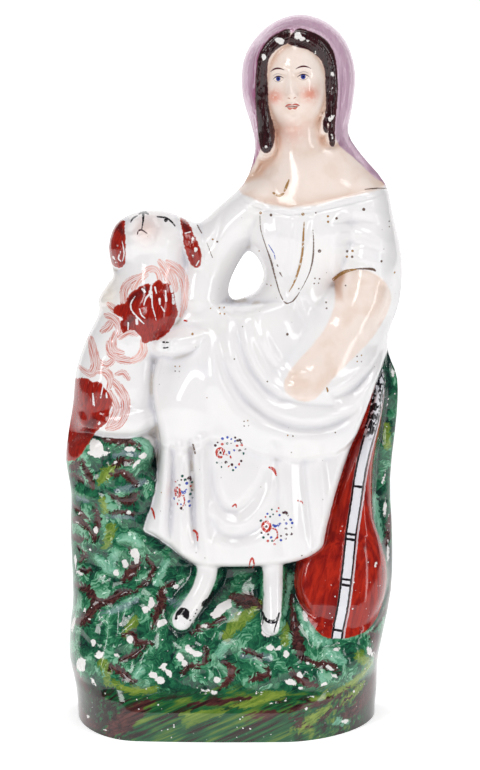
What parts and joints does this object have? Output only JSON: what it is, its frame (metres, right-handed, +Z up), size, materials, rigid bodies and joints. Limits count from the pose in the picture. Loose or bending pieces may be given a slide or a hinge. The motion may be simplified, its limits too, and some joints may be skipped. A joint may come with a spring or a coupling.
{
  "type": "staffordshire flatback figure",
  "caption": "Painted earthenware flatback figure of a seated lady with a lute and a spaniel on a rocky base, standing on its own underside.",
  "frame": {"origin": "centre of the bounding box's underside", "axes": "+Z up along the figure's height, -Y towards the viewer in front of it, +X to that viewer's right"},
  "size_m": [0.1768, 0.0901, 0.3676],
  "materials": {
    "glazed_earthenware": null
  },
  "bodies": {
    "root": {"figure": "glazed_earthenware"}
  },
  "joints": []
}
